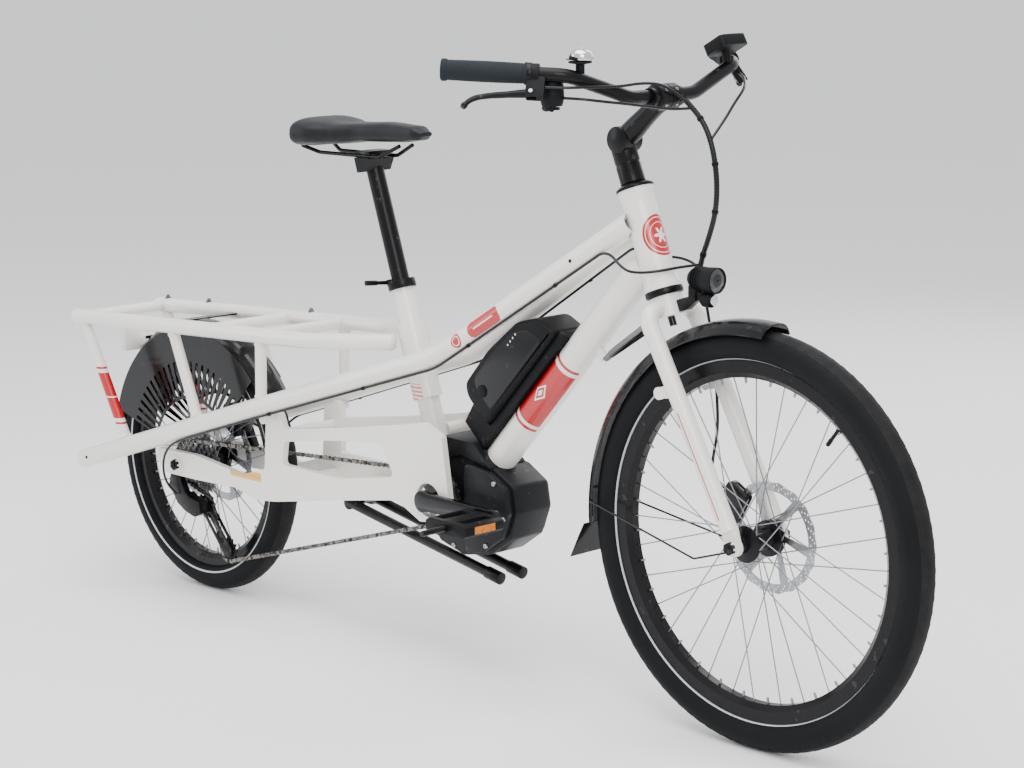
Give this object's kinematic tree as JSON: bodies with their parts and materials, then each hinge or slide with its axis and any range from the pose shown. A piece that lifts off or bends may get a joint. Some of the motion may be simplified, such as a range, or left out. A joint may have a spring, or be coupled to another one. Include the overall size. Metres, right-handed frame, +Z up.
{
  "type": "cargo bicycle",
  "caption": "Longtail electric cargo bicycle with a step-through frame, tubular rear rack, mid drive, sloping battery, small wheels and a two-legged stand.",
  "frame": {"origin": "on the ground, half way along the bicycle, in its centre plane", "axes": "+X forward, +Y to the rider's left, +Z up"},
  "size_m": [2.0196, 0.6618, 1.1046],
  "materials": {
    "frame_white": "gloss warm white paint",
    "black_satin": "satin black anodised or painted metal",
    "black_plastic": "moulded black plastic",
    "black_gloss": "gloss black plastic",
    "motor_grey": "dark grey cast housing",
    "tyre_rubber": "black tyre with a grey reflective stripe",
    "rim_black": "black anodised rim",
    "spoke_steel": "bright steel",
    "rotor_steel": "steel disc",
    "cog_steel": "nickel-plated steel",
    "chain_steel": "oiled dark steel",
    "grip_rubber": "slate grey rubber",
    "saddle_cover": "black synthetic cover",
    "spring_black": "black coated spring",
    "light_red": "red lens in a black body",
    "light_body": "black body with a clear lens",
    "hose_black": "black outer casing"
  },
  "bodies": {
    "frame": {"head_tube": "frame_white", "headset_cups": "black_satin", "down_tube": "frame_white", "side_rails": "frame_white", "seat_tube": "frame_white", "seat_clamp": "black_satin", "stay_plates": "frame_white", "frame_bridges": "frame_white", "motor_bracket": "frame_white", "motor_housing": "motor_grey", "battery_rail": "black_plastic", "rack_rails": "frame_white", "rack_frame": "frame_white", "rear_mudguard": "black_gloss", "rear_light": "light_red", "kickstand_bracket": "black_satin", "rear_caliper": "black_satin", "derailleur_body": "black_satin", "frame_cables": "hose_black", "chain": "chain_steel", "stabiliser_spring": "spring_black"},
    "steering_unit": {"fork": "frame_white", "stem": "black_satin", "handlebar": "black_satin", "grips": "grip_rubber", "handlebar_controls": "black_plastic", "display": "black_plastic", "headlight_bracket": "black_satin", "front_caliper": "black_satin", "front_mudguard": "black_gloss", "steering_hoses": "hose_black"},
    "front_wheel": {"front_tyre": "tyre_rubber", "front_rim": "rim_black", "front_spokes": "spoke_steel", "front_hub": "black_satin", "front_rotor": "rotor_steel"},
    "rear_wheel": {"rear_tyre": "tyre_rubber", "rear_rim": "rim_black", "rear_spokes": "spoke_steel", "rear_hub": "black_satin", "rear_rotor": "rotor_steel"},
    "cassette_unit": {"cassette": "cog_steel"},
    "crankset": {"cranks": "black_satin"},
    "chainring_unit": {"chainring": "cog_steel"},
    "derailleur_arm": {"derailleur_cage": "black_satin"},
    "guide_wheel": {"guide_pulley": "black_plastic"},
    "tension_wheel": {"tension_pulley": "black_plastic"},
    "right_pedal": {"pedal_right": "black_plastic"},
    "left_pedal": {"pedal_left": "black_plastic"},
    "stand": {"kickstand": "black_satin"},
    "battery_pack": {"battery": "black_plastic"},
    "seat": {"seatpost": "black_satin", "saddle": "saddle_cover"},
    "seat_quick_release": {"seat_lever": "black_satin"},
    "right_brake_lever": {"brake_lever_right": "black_satin"},
    "left_brake_lever": {"brake_lever_left": "black_satin"},
    "gear_lever": {"shift_lever": "black_plastic"},
    "bell_striker": {"bell_lever": "black_plastic"},
    "mode_button": {"display_button": "black_plastic"},
    "front_lamp": {"headlight": "light_body"}
  },
  "joints": [
    {"name": "steering", "type": "hinge", "parent": "frame", "child": "steering_unit", "pos_m": [0.62613, 0, 0.3345], "axis": [-0.3665, 0, 0.9304], "range_deg": [-45, 45], "stiffness_Nm_per_rad": 1.5, "deforming": ["stabiliser_spring", "frame_cables", "steering_hoses"]},
    {"name": "front_wheel_spin", "type": "hinge", "parent": "steering_unit", "child": "front_wheel", "pos_m": [0.67525, 0, 0.3345], "axis": [0, 1, 0], "continuous": true},
    {"name": "rear_wheel_spin", "type": "hinge", "parent": "frame", "child": "rear_wheel", "pos_m": [-0.72475, 0, 0.258], "axis": [0, 1, 0], "continuous": true},
    {"name": "crank_spin", "type": "hinge", "parent": "frame", "child": "crankset", "pos_m": [-0.00275, 0, 0.303], "axis": [0, 1, 0], "continuous": true},
    {"name": "chainring_spin", "type": "hinge", "parent": "frame", "child": "chainring_unit", "pos_m": [-0.00275, 0, 0.303], "axis": [0, 1, 0], "continuous": true},
    {"name": "cassette_spin", "type": "hinge", "parent": "frame", "child": "cassette_unit", "pos_m": [-0.72475, 0, 0.258], "axis": [0, 1, 0], "continuous": true},
    {"name": "derailleur_swing", "type": "hinge", "parent": "frame", "child": "derailleur_arm", "pos_m": [-0.67875, -0.045, 0.178], "axis": [0, 1, 0], "range_deg": [0, 14], "stiffness_Nm_per_rad": 0.6, "deforming": ["chain"]},
    {"name": "guide_pulley_spin", "type": "hinge", "parent": "derailleur_arm", "child": "guide_wheel", "pos_m": [-0.67875, -0.045, 0.178], "axis": [0, 1, 0], "continuous": true},
    {"name": "tension_pulley_spin", "type": "hinge", "parent": "derailleur_arm", "child": "tension_wheel", "pos_m": [-0.61075, -0.045, 0.102], "axis": [0, 1, 0], "continuous": true},
    {"name": "right_pedal_spin", "type": "hinge", "parent": "crankset", "child": "right_pedal", "pos_m": [0.16725, -0.148, 0.303], "axis": [0, 1, 0], "continuous": true},
    {"name": "left_pedal_spin", "type": "hinge", "parent": "crankset", "child": "left_pedal", "pos_m": [-0.17275, 0.148, 0.303], "axis": [0, 1, 0], "continuous": true},
    {"name": "kickstand_fold", "type": "hinge", "parent": "frame", "child": "stand", "pos_m": [-0.26575, 0, 0.248], "axis": [0, 1, 0], "range_deg": [0, 95]},
    {"name": "seatpost_slide", "type": "slide", "parent": "frame", "child": "seat", "axis": [-0.3123, 0, 0.95], "range_m": [-0.085, 0.06]},
    {"name": "seat_lever_turn", "type": "hinge", "parent": "frame", "child": "seat_quick_release", "pos_m": [-0.18022, 0, 0.65712], "axis": [-0.3123, 0, 0.95], "range_deg": [-80, 0]},
    {"name": "battery_slide", "type": "slide", "parent": "frame", "child": "battery_pack", "axis": [0.6806, 0, 0.7326], "range_m": [0, 0.03]},
    {"name": "right_brake_pull", "type": "hinge", "parent": "steering_unit", "child": "right_brake_lever", "pos_m": [0.42682, -0.2397, 1.03046], "axis": [0.5616, -0.6162, 0.5522], "range_deg": [-14, 0], "stiffness_Nm_per_rad": 0.4},
    {"name": "left_brake_pull", "type": "hinge", "parent": "steering_unit", "child": "left_brake_lever", "pos_m": [0.42682, 0.2397, 1.03046], "axis": [0.5616, 0.6162, 0.5522], "range_deg": [0, 14], "stiffness_Nm_per_rad": 0.4},
    {"name": "gear_lever_push", "type": "hinge", "parent": "steering_unit", "child": "gear_lever", "pos_m": [0.42799, -0.19565, 1.0573], "axis": [0, 0, 1], "range_deg": [-30, 0], "stiffness_Nm_per_rad": 0.2},
    {"name": "bell_flick", "type": "hinge", "parent": "steering_unit", "child": "bell_striker", "pos_m": [0.45825, -0.165, 1.0476], "axis": [0, 0, 1], "range_deg": [-20, 20], "stiffness_Nm_per_rad": 0.05},
    {"name": "mode_button_press", "type": "slide", "parent": "steering_unit", "child": "mode_button", "axis": [0.4695, 0, -0.8829], "range_m": [0, 0.0012], "stiffness_N_per_m": 300},
    {"name": "headlight_tilt", "type": "hinge", "parent": "steering_unit", "child": "front_lamp", "pos_m": [0.54525, 0, 0.712], "axis": [0, 1, 0], "range_deg": [-10, 10]}
  ],
  "couplings": [
    {"joint": "chainring_spin", "follows": "crank_spin", "ratio": 2.5},
    {"joint": "cassette_spin", "follows": "crank_spin", "ratio": 2.619},
    {"joint": "tension_pulley_spin", "follows": "crank_spin", "ratio": 5},
    {"joint": "guide_pulley_spin", "follows": "crank_spin", "ratio": -5}
  ]
}
